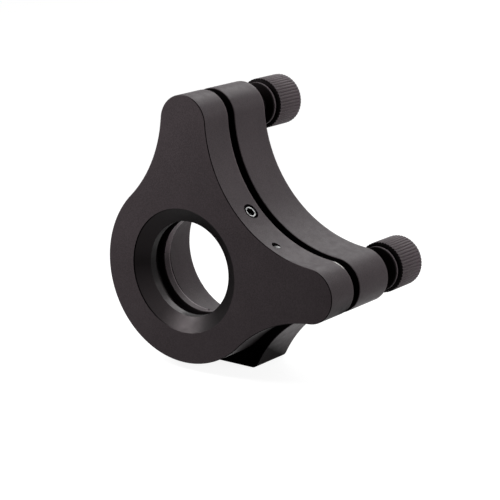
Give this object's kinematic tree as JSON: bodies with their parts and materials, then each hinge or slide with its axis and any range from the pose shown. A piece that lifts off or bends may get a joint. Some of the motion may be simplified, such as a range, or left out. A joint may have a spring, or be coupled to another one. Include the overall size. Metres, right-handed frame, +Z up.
{
  "type": "kinematic mirror mount",
  "caption": "Black kinematic mount for a round mirror: a ring plate with arms on a matching back plate with a flat foot, tilted about the mirror's centre by knurled fine screws.",
  "frame": {"origin": "mouth of the tapped post hole, in the middle of the foot's flat bottom", "axes": "+Z up out of the foot, +Y along the optic axis from the front plate to the back plate, +X towards the right adjuster arm"},
  "size_m": [0.063, 0.039, 0.065],
  "materials": {
    "anodised_black": "bead-blasted, black anodised",
    "anodised_knob": "knurled, black anodised",
    "steel": "ground",
    "spring_steel": "drawn wire",
    "hardened_steel": "hardened and polished",
    "brass": "turned",
    "bronze": "turned bearing bronze",
    "nylon": "plain nylon"
  },
  "bodies": {
    "base": {"back_plate": "anodised_black", "top_bushing": "brass", "right_bushing": "brass", "top_rear_pin": "steel", "right_rear_pin": "steel", "top_spring": "spring_steel", "right_spring": "spring_steel"},
    "bearing": {"bearing_ring": "bronze"},
    "front": {"front_plate": "anodised_black", "top_seat": "hardened_steel", "right_seat": "hardened_steel", "top_front_pin": "steel", "right_front_pin": "steel"},
    "retainer": {"retaining_ring": "anodised_black"},
    "top_tip": {"top_ball": "hardened_steel"},
    "right_tip": {"right_ball": "hardened_steel"},
    "top_adjuster": {"top_screw": "steel", "top_knob": "anodised_knob"},
    "right_adjuster": {"right_screw": "steel", "right_knob": "anodised_knob"},
    "clamp_tip": {"nylon_tip": "nylon"},
    "clamp_screw": {"set_screw": "hardened_steel"}
  },
  "joints": [
    {"name": "top_adjuster_travel", "type": "slide", "parent": "base", "child": "top_tip", "axis": [0, -1, 0], "range_m": [-0.00175, 0.00175]},
    {"name": "top_knob_spin", "type": "hinge", "parent": "top_tip", "child": "top_adjuster", "pos_m": [0, -0.01307, 0.05865], "axis": [0, -1, 0], "range_deg": [-2520, 2520]},
    {"name": "right_adjuster_travel", "type": "slide", "parent": "base", "child": "right_tip", "axis": [0, -1, 0], "range_m": [-0.00175, 0.00175]},
    {"name": "right_knob_spin", "type": "hinge", "parent": "right_tip", "child": "right_adjuster", "pos_m": [0.03465, -0.01307, 0.024], "axis": [0, -1, 0], "range_deg": [-2520, 2520]},
    {"name": "plate_pitch", "type": "hinge", "parent": "base", "child": "bearing", "pos_m": [0, -0.01307, 0.024], "axis": [1, 0, 0], "range_deg": [-2.9, 2.9], "deforming": ["top_spring"]},
    {"name": "plate_yaw", "type": "hinge", "parent": "bearing", "child": "front", "pos_m": [0, -0.01307, 0.024], "axis": [0, 0, -1], "range_deg": [-2.9, 2.9], "deforming": ["right_spring"]},
    {"name": "retaining_ring_slide", "type": "slide", "parent": "front", "child": "retainer", "axis": [0, 1, 0], "range_m": [0, 0.035]},
    {"name": "clamp_tip_travel", "type": "slide", "parent": "front", "child": "clamp_tip", "axis": [-0.7071, 0, -0.7071], "range_m": [-0.004, 0.00025]},
    {"name": "set_screw_spin", "type": "hinge", "parent": "clamp_tip", "child": "clamp_screw", "pos_m": [0.01235, -0.01197, 0.03635], "axis": [-0.7071, 0, -0.7071], "range_deg": [-2880, 180]}
  ],
  "couplings": [
    {"joint": "top_knob_spin", "follows": "top_adjuster_travel", "rad_per_m": 25133},
    {"joint": "plate_pitch", "follows": "top_adjuster_travel", "rad_per_m": 28.86},
    {"joint": "right_knob_spin", "follows": "right_adjuster_travel", "rad_per_m": 25133},
    {"joint": "plate_yaw", "follows": "right_adjuster_travel", "rad_per_m": 28.86},
    {"joint": "set_screw_spin", "follows": "clamp_tip_travel", "rad_per_m": 12566}
  ]
}
